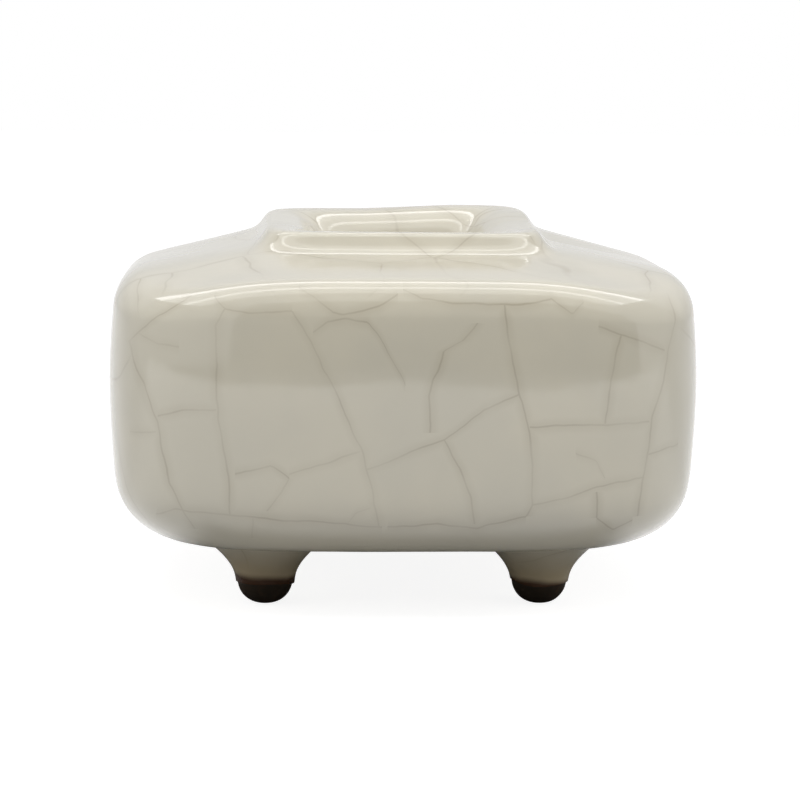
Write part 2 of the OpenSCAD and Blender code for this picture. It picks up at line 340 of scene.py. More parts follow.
class CoupeStudio(bpy.types.PropertyGroup):
    """Camera and lights."""

    aim: length("Aim", "Height at which the camera looks", 30 * MM)
    distance: length("Distance", "Distance of the camera from the middle of the coupe", 460 * MM)
    focus: number("Focus", "Focal length in pixels of the square picture", 2912)
    elevation: angle("Elevation", "How far the camera looks down", 7.665)
    turn: angle("Turn", "How far the camera stands to the left of the front", 2.929)
    roll: angle("Roll", "Roll of the camera", 0.572)
    shift_x: number("Shift across", "Place of the aim in the picture, in pixels", -2.77)
    shift_y: number("Shift up", "Place of the aim in the picture, in pixels", -11.73)
    ambient: number("Ambient", "Brightness of the room for diffuse light", 0.36)
    key: number("Key", "Power of the soft light above the camera", 5.6)
    side: number("Side", "Power of each soft light at the sides", 1.4)
    softbox: number("Softbox", "Brightness of the box overhead that only shines in the glaze", 1.4)
    back_strip: number("Back strip", "Brightness of the strip at the back of that box", 1.7)
    front_strip: number("Front strip", "Brightness of the strip above the coupe", 2.38)
    table: number("Table", "Brightness of the table's surface", 0.4)
    table_glow: number("Table glow", "Light that the table gives off towards the eye", 0.88)
    # The lit table that the glaze mirrors is a painted reflection: a glow that only reflected rays see
    front_painted_shine: number("Front shine", "Brightness of the lit table in front, mirrored in the glaze", 1.6)
    side_painted_shine: number("Side shine", "Brightness of the lit table at the other sides", 0.75)


def share(value, none, full):
    """How far a value has come from none to full, from 0 to 1."""
    return min(max((value - none) / (full - none), 0), 1)


# The section through the glazed body

def left_of(way):
    """The direction to the left of a flat direction."""
    return Vector((-way.y, way.x))


def meet(start, way, other, other_way):
    """Where two lines meet, each given by a point and a direction."""
    return start + way * ((other - start).cross(other_way) / way.cross(other_way))


def meet_moved(before, corner, after, first, second):
    """Where the two lines of a corner meet after each has moved to its left."""
    way_in = (corner - before).normalized()
    way_out = (after - corner).normalized()
    return meet(before + first * left_of(way_in), way_in, corner + second * left_of(way_out), way_out)


def rounding(before, corner, after, radius, steps):
    """Points of the arc that rounds a corner between its neighbours."""
    back = (before - corner).normalized()
    ahead = (after - corner).normalized()
    half = back.angle(ahead) / 2
    centre = corner + (back + ahead).normalized() * radius / math.sin(half)
    start = (corner + back * radius / math.tan(half) - centre).normalized()
    end = (corner + ahead * radius / math.tan(half) - centre).normalized()
    return [centre + start.slerp(end, k / steps) * radius for k in range(steps + 1)]


def section(body, mouth, glaze):
    """Corners of the glazed section, from the axis below round the lip to the axis inside."""
    lip_half = mouth.half - mouth.lip_round * math.tan(math.pi / 4 - mouth.funnel_lean / 2)
    rim_half = mouth.half + mouth.rim_flat + mouth.rim_round * math.tan(math.pi / 4 - mouth.lean / 2)
    collar_half = rim_half + mouth.height * math.tan(mouth.lean)
    collar_level = RIM - mouth.height
    shoulder_half = body.half - body.shoulder_draw
    shoulder_level = collar_level - (shoulder_half - collar_half) * math.tan(body.top_slope)
    floor_level = FLOOR_CLAY + glaze.thickness

    axis_low = Vector((0, UNDERSIDE))
    base = Vector((body.half - body.base_draw, UNDERSIDE))
    belly = Vector((body.half, SEAM))
    shoulder = Vector((shoulder_half, shoulder_level))
    collar = Vector((collar_half, collar_level))
    rim = Vector((rim_half, RIM))
    lip = Vector((lip_half, RIM))
    funnel = Vector((math.sin(mouth.funnel_lean), math.cos(mouth.funnel_lean)))
    inner_shoulder = meet_moved(belly, shoulder, collar, body.wall, body.top)
    inner_belly = meet_moved(base, belly, shoulder, body.wall, body.wall)
    inner_floor = meet_moved(axis_low, base, belly, floor_level - UNDERSIDE, body.wall)
    mouth_edge = meet(inner_shoulder, collar - shoulder, lip, funnel)
    axis_high = Vector((0, floor_level))
    return [
        Corner(axis_low, 0, body.square, 0),
        Corner(base, body.base_round, body.square, LARGE_STEPS),
        Corner(belly, body.belly_round, body.square, SMALL_STEPS),
        Corner(shoulder, body.shoulder_round, body.square, LARGE_STEPS),
        Corner(collar, mouth.hollow, mouth.square, SMALL_STEPS),
        Corner(rim, mouth.rim_round, mouth.square, SMALL_STEPS),
        Corner(lip, mouth.lip_round, mouth.square, LARGE_STEPS),
        Corner(mouth_edge, mouth.edge_round, mouth.square, SMALL_STEPS),
        Corner(inner_shoulder, body.inner_shoulder_round, body.square, LARGE_STEPS),
        Corner(inner_belly, body.belly_round, body.square, SMALL_STEPS),
        Corner(inner_floor, body.inner_floor_round, body.square, LARGE_STEPS),
        Corner(axis_high, 0, body.square, 0),
    ]


# Places of the corners in that list
(BASE, BELLY, SHOULDER, COLLAR, RIM_EDGE, LIP, MOUTH_EDGE,
 INNER_SHOULDER, INNER_BELLY, INNER_FLOOR) = range(1, 11)


def section_in_clay(corners, depth):
    """The section moved into the clay: outside roundings shrink and hollow ones grow."""
    moved = [corners[0]._replace(place=corners[0].place + Vector((0, depth)))]
    for before, corner, after in zip(corners, corners[1:], corners[2:]):
        turn = (corner.place - before.place).cross(after.place - corner.place)
        place = meet_moved(before.place, corner.place, after.place, depth, depth)
        moved.append(corner._replace(place=place, radius=corner.radius - math.copysign(depth, turn)))
    return moved + [corners[-1]._replace(place=corners[-1].place - Vector((0, depth)))]


def ring_at(point, square, shoulder, mouth):
    """A ring through one point of the section, with its share in the shoulder and in the mouth."""
    up = share(point.y, SEAM, shoulder.y)
    out = share(point.x, mouth.x, shoulder.x)
    return Ring(point.x, point.y, square, up * out, up * (1 - out))


def rings_between(corners, first, last):
    """Rings of the section from one corner to another, with more of them on straight stretches."""
    shoulder = corners[SHOULDER if last <= RIM_EDGE else INNER_SHOULDER].place
    mouth = corners[COLLAR].place
    stops = []
    for i in range(first, last + 1):
        points = rounding(corners[i - 1].place, corners[i].place, corners[i + 1].place,
                          corners[i].radius, corners[i].steps)
        stops.extend((point, corners[i].square) for point in points)
    rings = [ring_at(*stops[0], shoulder, mouth)]
    for (start, start_square), (end, end_square) in zip(stops, stops[1:]):
        pieces = max(1, math.ceil((end - start).length / RING_SPACING))
        for k in range(1, pieces + 1):
            part = k / pieces
            square = start_square + (end_square - start_square) * part
            rings.append(ring_at(start.lerp(end, part), square, shoulder, mouth))
    return rings


def nearest_ring(rings, corner):
    """The number of the ring that passes nearest to a corner of the section."""
    return min(range(len(rings)), key=lambda i: (Vector(rings[i][:2]) - corner.place).length)


# Modelling

def edit_new_mesh(name):
    """Make an empty mesh object and open it in edit mode."""
    if bpy.context.object and bpy.context.object.mode != "OBJECT":
        bpy.ops.object.mode_set(mode="OBJECT")
    bpy.ops.object.select_all(action="DESELECT")
    piece = bpy.data.objects.new(name, bpy.data.meshes.new(name))
    bpy.context.collection.objects.link(piece)
    bpy.context.view_layer.objects.active = piece
    piece.select_set(True)
    bpy.ops.object.mode_set(mode="EDIT")
    bpy.ops.mesh.select_mode(type="VERT")
    return piece


def edited():
    """The mesh that is open in edit mode."""
    return bmesh.from_edit_mesh(bpy.context.object.data)


def select_verts(mesh, wanted):
    """Select the vertices of the edited mesh that a test picks, and no others, and return them."""
    for vert in mesh.verts:
        vert.select_set(False)
    mesh.select_flush(False)
    chosen = [vert for vert in mesh.verts if wanted(vert)]
    for vert in chosen:
        vert.select_set(True)
    mesh.select_flush(True)
    return chosen


def apply_modifier(piece, kind, **settings):
    """Add a modifier to a piece, set it and apply it."""
    modifier = piece.modifiers.new(kind.title(), kind)
    for name, value in settings.items():
        setattr(modifier, name, value)
    bpy.ops.object.modifier_apply(modifier=modifier.name)


def smooth_surface(piece, levels):
    """Round a piece with a subdivision surface."""
    apply_modifier(piece, "SUBSURF", levels=levels, render_levels=levels)


def uneven_surface(piece, name, size, depth, group=""):
    """Let a surface wander in and out as hand-made clay does."""
    clouds = bpy.data.textures.new(name, "CLOUDS")
    clouds.noise_scale = size
    clouds.noise_depth = 1
    apply_modifier(piece, "DISPLACE", texture=clouds, strength=depth, mid_level=0.5, vertex_group=group)


def add_square_ring(ring, body, mouth):
    """Add one ring of the body: a square whose corners follow a superellipse, bent as it was made."""
    bpy.ops.mesh.select_all(action="DESELECT")
    bpy.ops.mesh.primitive_plane_add(size=2 * ring.half, location=(0, 0, ring.height))
    bpy.ops.mesh.bevel(offset_type="PERCENT", offset_pct=50, segments=RING_SEGMENTS,
                       profile=4 ** (-1 / ring.square), affect="VERTICES", clamp_overlap=False)
    reach = 2 ** (0.5 - 1 / ring.square)
    for vert in edited().verts:
        if vert.select:
            corner = share(vert.co.xy.length / ring.half, 1, reach)
            sag = body.corner_sag * ring.shoulder * corner ** SAG_POWER
            lean = body.lean * ring.shoulder * vert.co.y
            tilt = mouth.tilt * ring.mouth * vert.co.y
            right = share(vert.co.x, -mouth.half / 4, mouth.half / 2)
            rear = share(vert.co.y, 0, mouth.half / 2)
            lift = mouth.lift * ring.mouth * right * rear
            vert.co.z += tilt + lift - lean - sag
    bpy.ops.mesh.delete(type="ONLY_FACE")


def loft_rings(rings, body, mouth):
    """Add rings and join each to the next."""
    for ring in rings:
        add_square_ring(ring, body, mouth)
    bpy.ops.mesh.select_all(action="SELECT")
    bpy.ops.mesh.remove_doubles(threshold=ONE_POINT)
    bpy.ops.mesh.bridge_edge_loops(type="SINGLE")


def loft_wall(outer, inner, body, mouth):
    """Loft the outside of a wall and then its inside, so that neither joins the other yet."""
    loft_rings(outer, body, mouth)
    bpy.ops.mesh.hide(unselected=False)
    loft_rings(inner, body, mouth)
    bpy.ops.mesh.reveal()
    bpy.ops.mesh.select_all(action="SELECT")
    bpy.ops.mesh.remove_doubles(threshold=ONE_POINT)


def join_edges(low, high):
    """Join the two open edges that lie between two levels."""
    select_verts(edited(), lambda vert: vert.is_boundary and low < vert.co.z < high)
    bpy.ops.mesh.bridge_edge_loops(type="SINGLE")


def fill_square(level):
    """Close the open ring at one level with a square grid whose corners lie on the diagonals."""
    mesh = edited()
    ring = select_verts(mesh, lambda vert: vert.is_boundary and abs(vert.co.z - level) < ONE_RING)
    corner = max(ring, key=lambda vert: vert.co.x + vert.co.y)
    mesh.select_history.clear()
    mesh.select_history.add(corner)
    bmesh.update_edit_mesh(bpy.context.object.data)
    bpy.ops.mesh.fill_grid(span=RING_SEGMENTS, offset=0)


def sleeve_profile(feet):
    """Radius and height of the glaze on a foot, from the underside down to the glaze line."""
    drop = UNDERSIDE - GLAZE_LINE
    for k in range(1, SLEEVE_STEPS + 1):
        quarter = k / SLEEVE_STEPS * math.pi / 2
        bow = math.sin(quarter)
        narrowing = SLEEVE_BOW * bow + (1 - SLEEVE_BOW) * bow ** 3
        radius = feet.glaze_reach + (feet.glaze_edge - feet.glaze_reach) * narrowing
        yield radius, UNDERSIDE - drop * (1 - math.cos(quarter)) ** SLEEVE_POWER


def open_underside(feet):
    """Open the flat of the underside in its four corners, where the feet are."""
    inner_edge = FOOT_PLACE - feet.glaze_reach
    mesh = edited()
    for face in mesh.faces:
        middle = face.calc_center_median()
        flat = all(abs(vert.co.z - UNDERSIDE) < ONE_LEVEL for vert in face.verts)
        clear = all(abs(other.calc_center_median().z - UNDERSIDE) < ONE_LEVEL
                    for vert in face.verts for other in vert.link_faces)
        face.select = flat and clear and min(abs(middle.x), abs(middle.y)) > inner_edge
    bpy.ops.mesh.select_mode(type="FACE")
    bpy.ops.mesh.delete(type="FACE")
    bpy.ops.mesh.select_mode(type="VERT")


def draw_sleeve(feet, side, back):
    """Draw the glaze down one foot, from the opening above it to a wandering glaze line."""
    centre = Vector((side * FOOT_PLACE, back * FOOT_PLACE, 0))
    mesh = edited()
    opening = select_verts(mesh, lambda vert: vert.is_boundary and vert.co.x * side > 0
                           and vert.co.y * back > 0)
    for vert in opening:
        away = (vert.co - centre).to_2d().normalized() * feet.glaze_reach
        vert.co.xy = centre.xy + away
    radius, level = feet.glaze_reach, UNDERSIDE
    for next_radius, next_level in sleeve_profile(feet):
        bpy.ops.mesh.extrude_region_move(
            TRANSFORM_OT_translate={"value": (0, 0, next_level - level)})
        ratio = next_radius / radius
        bpy.ops.transform.resize(value=(ratio, ratio, 1), center_override=centre)
        radius, level = next_radius, next_level
    for vert in edited().verts:
        if vert.select:
            turn = math.atan2(vert.co.y - centre.y, vert.co.x - centre.x)
            wander = math.sin(2 * turn + side) + SECOND_WAVE * math.sin(3 * turn + 2 * back)
            vert.co.z += feet.wave * wander / (1 + SECOND_WAVE)


def model_glaze(body, mouth, feet, glaze):
    """Model the glaze: the whole glazed surface first, then its thickness towards the clay."""
    corners = section(body, mouth, glaze)
    outer = rings_between(corners, BASE, RIM_EDGE)
    inner = outer[-1:] + rings_between(corners, LIP, INNER_FLOOR)[1:]
    piece = edit_new_mesh("glaze_coat")
    loft_wall(outer, inner, body, mouth)
    fill_square(UNDERSIDE)
    fill_square(inner[-1].height)
    open_underside(feet)
    for side, back in FOOT_NODES.values():
        draw_sleeve(feet, side, back)
    bpy.ops.mesh.select_all(action="SELECT")
    bpy.ops.mesh.normals_make_consistent(inside=False)
    bpy.ops.object.mode_set(mode="OBJECT")

    thickness = piece.vertex_groups.new(name="thickness")
    for vert in piece.data.vertices:
        above = share(vert.co.z, GLAZE_LINE + EDGE_HEIGHT, UNDERSIDE)
        thickness.add([vert.index], EDGE_WEIGHT + (1 - EDGE_WEIGHT) * above, "REPLACE")
    smooth_surface(piece, 1)
    uneven_surface(piece, "fired_surface", glaze.unevenness_size, glaze.unevenness)
    apply_modifier(piece, "SOLIDIFY", thickness=glaze.thickness, offset=-1, use_even_offset=True,
                   vertex_group="thickness", thickness_vertex_group=THINNEST)
    bpy.ops.object.shade_smooth_by_angle(angle=SHARP)
    return piece


def model_clay(body, mouth, glaze):
    """Model the clay under the glaze: the tray, the shoulder and the collar, with their nodes."""
    corners = section_in_clay(section(body, mouth, glaze), glaze.thickness)
    outer = rings_between(corners, BASE, RIM_EDGE)
    inner = rings_between(corners, LIP, INNER_FLOOR)[1:]
    belly, collar = (nearest_ring(outer, corners[i]) for i in (BELLY, COLLAR))
    inner_belly = nearest_ring(inner, corners[INNER_BELLY])
    # Inside, the collar ends where the rounding of the lip does
    edge = LARGE_STEPS - 1

    tray = edit_new_mesh("clay_tray")
    loft_wall(outer[:belly + 1], inner[inner_belly:], body, mouth)
    join_edges((SEAM + FLOOR_CLAY) / 2, RIM)
    fill_square(outer[0].height)
    fill_square(inner[-1].height)

    shoulder = edit_new_mesh("clay_shoulder")
    loft_wall(outer[belly:collar + 1], inner[edge:inner_belly + 1], body, mouth)
    join_edges(0, (SEAM + RIM) / 2)
    join_edges((SEAM + RIM) / 2, 2 * RIM)

    neck = edit_new_mesh("clay_collar")
    loft_wall(outer[collar:], inner[:edge + 1], body, mouth)
    join_edges(0, RIM - mouth.height / 2)
    join_edges(RIM - mouth.height / 2, 2 * RIM)
    bpy.ops.object.mode_set(mode="OBJECT")
    return {"lower_body": tray, "upper_body": shoulder, "mouth_collar": neck}


def finish_clay(piece, material):
    """Turn the faces of a clay piece outwards and give it its material."""
    bpy.ops.object.select_all(action="DESELECT")
    piece.select_set(True)
    bpy.context.view_layer.objects.active = piece
    bpy.ops.object.mode_set(mode="EDIT")
    bpy.ops.mesh.select_all(action="SELECT")
    bpy.ops.mesh.normals_make_consistent(inside=False)
    bpy.ops.object.mode_set(mode="OBJECT")
    bpy.ops.object.shade_smooth_by_angle(angle=SHARP_CLAY)
    piece.data.materials.append(material)


def foot_profile(feet):
    """Radius and height of a foot's clay, from the middle of its tip to its head."""
    head = Vector((feet.head, FOOT_TOP))
    tip = rounding(Vector((0, 0)), Vector((feet.tip, 0)), head, feet.tip_round, LARGE_STEPS)
    side = [tip[-1].lerp(head, k / SMALL_STEPS) for k in range(1, SMALL_STEPS + 1)]
    return [Vector((tip[0].x / 2, 0))] + tip + side


def model_foot(feet):
    """Model one foot at the origin."""
    piece = edit_new_mesh("foot")
    for point in foot_profile(feet):
        bpy.ops.mesh.primitive_circle_add(vertices=FOOT_POINTS, radius=point.x, location=(0, 0, point.y))
    bpy.ops.mesh.select_all(action="SELECT")
    bpy.ops.mesh.bridge_edge_loops(type="SINGLE")
    for level in (0, FOOT_TOP):
        select_verts(edited(), lambda vert: vert.is_boundary and abs(vert.co.z - level) < ONE_LEVEL)
        bpy.ops.mesh.edge_face_add()
    bpy.ops.mesh.select_all(action="SELECT")
    bpy.ops.mesh.normals_make_consistent(inside=False)
    bpy.ops.object.mode_set(mode="OBJECT")
    smooth_surface(piece, 2)
    return piece


def place_foot(pattern, node, quarters, feet):
    """Copy the foot to the place of its node, turned by so many quarters, and let its sides wander."""
    bpy.ops.object.select_all(action="DESELECT")
    pattern.select_set(True)
    bpy.context.view_layer.objects.active = pattern
    bpy.ops.object.duplicate(linked=False)
    piece = bpy.context.object
    piece.name = piece.data.name = "nub_" + node
    side, back = FOOT_NODES[node]
    piece.location = (side * FOOT_PLACE, back * FOOT_PLACE, 0)
    piece.rotation_euler.z = quarters * math.pi / 2
    bpy.ops.object.transform_apply(location=True, rotation=True, scale=True)
    above = piece.vertex_groups.new(name="above_tip")
    for vert in piece.data.vertices:
        above.add([vert.index], share(vert.co.z, FLAT_TIP, FREE_SIDE), "REPLACE")
    uneven_surface(piece, node, feet.unevenness_size, feet.unevenness, "above_tip")
    bpy.ops.object.shade_smooth_by_angle(angle=SHARP)
    return piece


# Materials

def add_node(tree, kind, inputs=None, **settings):
    """Add a node, set its options, and fill its inputs with values or with links."""
    made = tree.nodes.new(kind)
    for name, value in settings.items():
        setattr(made, name, value)
    for key, value in (inputs or {}).items():
        if isinstance(value, bpy.types.NodeSocket):
            tree.links.new(value, made.inputs[key])
        else:
            made.inputs[key].default_value = value
    return made


def math_of(tree, operation, *values):
    """The result of a math node."""
    return add_node(tree, "ShaderNodeMath", dict(enumerate(values)), operation=operation).outputs[0]


def vector_of(tree, operation, inputs):
    """The result of a vector math node."""
    return add_node(tree, "ShaderNodeVectorMath", inputs, operation=operation).outputs[0]


def ramp_of(tree, value, low, high, to_low=0.0, to_high=1.0):
    """A value eased from one range to another."""
    inputs = {"Value": value, "From Min": low, "From Max": high, "To Min": to_low, "To Max": to_high}
    return add_node(tree, "ShaderNodeMapRange", inputs, interpolation_type="SMOOTHSTEP").outputs["Result"]


def noise_of(tree, place, size, detail=2.0, roughness=0.5):
    """Noise from 0 to 1 whose waves are about this size."""
    inputs = {"Vector": place, "Scale": 1 / size, "Detail": detail, "Roughness": roughness}
    return add_node(tree, "ShaderNodeTexNoise", inputs)


def mix_of(tree, factor, first, second):
    """Two colours mixed by a factor."""
    made = add_node(tree, "ShaderNodeMix", data_type="RGBA")
    for key, value in (("Factor_Float", factor), ("A_Color", first), ("B_Color", second)):
        socket = next(s for s in made.inputs if s.identifier == key)
        if isinstance(value, bpy.types.NodeSocket):
            tree.links.new(value, socket)
        else:
            socket.default_value = value
    return next(s for s in made.outputs if s.identifier == "Result_Color")


def opaque(rgb):
    """A colour with full alpha."""
    return (*rgb, 1)


def new_group(name, inputs, outputs):
    """An empty shader node group with its input and output nodes."""
    group = bpy.data.node_groups.new(name, "ShaderNodeTree")
    for way, sockets in (("INPUT", inputs), ("OUTPUT", outputs)):
        for label, kind in sockets.items():
            group.interface.new_socket(label, in_out=way, socket_type="NodeSocket" + kind)
    return group, group.nodes.new("NodeGroupInput").outputs, group.nodes.new("NodeGroupOutput").inputs


def stained_line(tree, distance, width):
    """A dark line of this half width, and round it the stain that has crept into the glaze."""
    line = ramp_of(tree, distance, 0.0, width, 1.0, 0.0)
    reach = math_of(tree, "MULTIPLY", width, CREEP_REACH)
    return math_of(tree, "MAXIMUM", line, ramp_of(tree, distance, 0.0, reach, CREEP_SHARE, 0.0))


def strayed(tree, place, size, reach):
    """A place moved about by noise whose waves are about this size."""
    noise = noise_of(tree, place, size).outputs["Color"]
    offset = vector_of(tree, "SUBTRACT", {0: noise, 1: (0.5, 0.5, 0.5)})
    offset = vector_of(tree, "SCALE", {0: offset, "Scale": reach})
    return vector_of(tree, "ADD", {0: place, 1: offset})


def crackle_group():
    """Crackle: the edges of stretched, wavering cells, as lines of one width."""
    group, given, result = new_group(
        "crackle", {"Place": "Vector", "Cell": "Float", "Width": "Float", "Waver": "Float"},
        {"Line": "Float"})
    place = strayed(group, given["Place"], NET_BEND_SIZE, given["Waver"])
    place = vector_of(group, "MULTIPLY", {0: place, 1: NET_SCALE})
    inverse = math_of(group, "DIVIDE", 1.0, given["Cell"])
    place = vector_of(group, "SCALE", {0: place, "Scale": inverse})
    cells = add_node(group, "ShaderNodeTexVoronoi", {"Vector": place, "Scale": 1.0},
                     feature="DISTANCE_TO_EDGE")
    distance = math_of(group, "MULTIPLY", cells.outputs["Distance"], given["Cell"])
    group.links.new(stained_line(group, distance, given["Width"]), result["Line"])
    return group


def crack_distance(tree, route, across, up):
    """Distance from one crack, less FAR alongside it, so that the least of all distances counts."""
    width = max(x for x, z in route) - min(x for x, z in route)
    rise = max(z for x, z in route) - min(z for x, z in route)
    upright = rise > width
    spots = sorted((z / FIELD_TOP, (x + FIELD_SIDE) / (2 * FIELD_SIDE)) if upright
                   else ((x + FIELD_SIDE) / (2 * FIELD_SIDE), z / FIELD_TOP) for x, z in route)
    run, side = (up, across) if upright else (across, up)
    path = add_node(tree, "ShaderNodeFloatCurve", {"Value": run})
    curve = path.mapping.curves[0]
    curve.points[0].location, curve.points[1].location = spots[0], spots[-1]
    for spot in spots[1:-1]:
        curve.points.new(*spot)
    for point in curve.points:
        point.handle_type = "VECTOR"
    path.mapping.update()
    scale = 2 * FIELD_SIDE if upright else FIELD_TOP
    away = math_of(tree, "ABSOLUTE", math_of(tree, "SUBTRACT", side, path.outputs["Value"]))
    middle = (spots[0][0] + spots[-1][0]) / 2
    alongside = math_of(tree, "COMPARE", run, middle, (spots[-1][0] - spots[0][0]) / 2)
    return math_of(tree, "MULTIPLY_ADD", alongside, -FAR, math_of(tree, "MULTIPLY", away, scale))


def front_crack_group():
    """The cracks of the front face, main and faint, as soft lines."""
    group, given, result = new_group(
        "front cracks", {"Place": "Vector", "Width": "Float"}, {"Main": "Float", "Faint": "Float"})
    place = strayed(group, given["Place"], CRACK_BEND_SIZE, CRACK_WAVER)
    axes = add_node(group, "ShaderNodeSeparateXYZ", {0: place}).outputs
    across = math_of(group, "MULTIPLY_ADD", axes["X"], 1 / (2 * FIELD_SIDE), 0.5)
    up = math_of(group, "DIVIDE", axes["Z"], FIELD_TOP)
    front = ramp_of(group, axes["Y"], *FRONT_EDGE, 1.0, 0.0)
    for label, routes in (("Main", MAIN_CRACKS), ("Faint", FAINT_CRACKS)):
        least = crack_distance(group, routes[0], across, up)
        for route in routes[1:]:
            least = math_of(group, "MINIMUM", least, crack_distance(group, route, across, up))
        distance = math_of(group, "ADD", least, FAR)
        line = stained_line(group, distance, given["Width"])
        group.links.new(math_of(group, "MULTIPLY", line, front), result[label])
    return group


def new_material(name):
    """A material with its node tree, its shader and the place on the piece in millimetres."""
    material = bpy.data.materials.new(name)
    material.use_nodes = True
    tree = material.node_tree
    shader = tree.nodes["Principled BSDF"]
    spot = tree.nodes.new("ShaderNodeTexCoord").outputs["Object"]
    place = vector_of(tree, "SCALE", {0: spot, "Scale": 1 / MM})
    return material, tree, shader, place


def all_cracks(tree, place, axes):
    """The cracks of the front, the net on the other sides and the rim's stained mitres, as one mask."""
    lines = {"Place": place, "Width": CRACK_WIDTH}
    drawn = add_node(tree, "ShaderNodeGroup", lines, node_tree=front_crack_group()).outputs
    cells = {**lines, "Cell": NET_CELL, "Waver": NET_WAVER}
    net = add_node(tree, "ShaderNodeGroup", cells, node_tree=crackle_group()).outputs["Line"]
    above = math_of(tree, "MULTIPLY", ramp_of(tree, axes["Z"], *TOP_EDGE), TOP_SHARE)
    around = math_of(tree, "MAXIMUM", ramp_of(tree, axes["Y"], *NET_EDGE), above)
    net = math_of(tree, "MULTIPLY", net, around)
    faint = math_of(tree, "MULTIPLY", drawn["Faint"], FAINT_SHARE)
    cracks = math_of(tree, "MAXIMUM", net, math_of(tree, "MAXIMUM", drawn["Main"], faint))

    sides = [math_of(tree, "ABSOLUTE", axes[axis]) for axis in "XY"]
    mitre = math_of(tree, "ABSOLUTE", math_of(tree, "SUBTRACT", *sides))
    mitre = ramp_of(tree, mitre, 0.0, MITRE_WIDTH, MITRE_SHARE, 0.0)
    levels = [RIM / MM - depth for depth in MITRE_DEPTHS]
    mitre = math_of(tree, "MULTIPLY", mitre, ramp_of(tree, axes["Z"], *levels))
    cracks = math_of(tree, "MAXIMUM", cracks, mitre)
    stain = ramp_of(tree, noise_of(tree, place, STAIN_SIZE).outputs["Fac"], *NOISE, *STAIN_SHARES)
    return math_of(tree, "MULTIPLY", cracks, stain)


def iron_specks(tree, place):
    """A mask of small specks that lie scattered, far apart."""
    cells = add_node(tree, "ShaderNodeTexVoronoi", {"Vector": place, "Scale": 1 / SPECK_SPACING}).outputs
    speck = ramp_of(tree, cells["Distance"], *SPECK_RADII, SPECK_SHARE, 0.0)
    chance = add_node(tree, "ShaderNodeSeparateColor", {0: cells["Color"]}).outputs["Red"]
    return math_of(tree, "MULTIPLY", speck, math_of(tree, "GREATER_THAN", chance, SPECK_GAPS))


def glaze_material(glaze):
    """Pale grey glaze with stained crackle, thinning to brown on the feet."""
    material, tree, shader, place = new_material("crackle_glaze")
    axes = add_node(tree, "ShaderNodeSeparateXYZ", {0: place}).outputs
    clouds = noise_of(tree, place, CLOUD_SIZE, 3.0).outputs["Fac"]
    height = math_of(tree, "ADD", axes["Z"], ramp_of(tree, clouds, *NOISE, -DRIFT, DRIFT))
    thin = ramp_of(tree, height, GLAZE_LINE / MM + THIN_FROM, UNDERSIDE / MM + THIN_TO, 1.0, 0.0)
    line = ramp_of(tree, height, GLAZE_LINE / MM + LINE_FROM, GLAZE_LINE / MM + LINE_TO, 1.0, 0.0)
    base = mix_of(tree, ramp_of(tree, clouds, *CLOUDS), opaque(glaze.pale), opaque(glaze.grey))
    base = mix_of(tree, all_cracks(tree, place, axes), base, opaque(glaze.crack))
    base = mix_of(tree, iron_specks(tree, place), base, opaque(glaze.speck))
    base = mix_of(tree, thin, base, opaque(glaze.thin))
    base = mix_of(tree, line, base, opaque(glaze.line))
    tree.links.new(base, shader.inputs["Base Color"])

    dull = [glaze.roughness * part for part in GLOSS_SHARES]
    gloss = ramp_of(tree, noise_of(tree, place, GLOSS_SIZE).outputs["Fac"], *NOISE, *dull)
    tree.links.new(gloss, shader.inputs["Roughness"])
    peel = noise_of(tree, place, PEEL_SIZE, 1.0).outputs["Fac"]
    bump = add_node(tree, "ShaderNodeBump", {"Height": peel, "Strength": 0.05, "Distance": 0.2 * MM})
    tree.links.new(bump.outputs["Normal"], shader.inputs["Normal"])
    shader.inputs["IOR"].default_value = 1.5
    return material


def clay_material(name, dark, brown):
    """Matt dark clay with a fine grain."""
    material, tree, shader, place = new_material(name)
    shader.inputs["Specular IOR Level"].default_value = 0.1
    grain = noise_of(tree, place, GRAIN_SIZE, 4.0, 0.6).outputs["Fac"]
    patch = noise_of(tree, place, PATCH_SIZE).outputs["Fac"]
    patch = ramp_of(tree, patch, *LIGHT_PATCH)
    light = math_of(tree, "MULTIPLY", ramp_of(tree, grain, *LIGHT_GRAIN), patch)
    base = mix_of(tree, light, opaque(dark), opaque(brown))
    tree.links.new(base, shader.inputs["Base Color"])
    tree.links.new(ramp_of(tree, grain, *NOISE, *CLAY_ROUGHNESS), shader.inputs["Roughness"])
    bump = add_node(tree, "ShaderNodeBump", {"Height": grain, "Strength": 0.35, "Distance": 0.15 * MM})
    tree.links.new(bump.outputs["Normal"], shader.inputs["Normal"])
    return material


# Studio

def white_for_sight(tree):
    """1 for rays that see the room, as by eye or in a reflection, and 0 for diffuse light."""
    path = add_node(tree, "ShaderNodeLightPath").outputs
    seen = math_of(tree, "MAXIMUM", path["Is Camera Ray"], path["Is Glossy Ray"])
    return math_of(tree, "MAXIMUM", seen, path["Is Transmission Ray"])


def set_world(studio):
    """A white room to the eye, and an even grey one for diffuse light."""
    world = bpy.data.worlds.new("room")
    world.use_nodes = True
    tree = world.node_tree
    background = tree.nodes["Background"]
    background.inputs["Color"].default_value = (1, 1, 1, 1)
    strength = ramp_of(tree, white_for_sight(tree), 0.0, 1.0, studio.ambient, 1.0)
    tree.links.new(strength, background.inputs["Strength"])
    bpy.context.scene.world = world


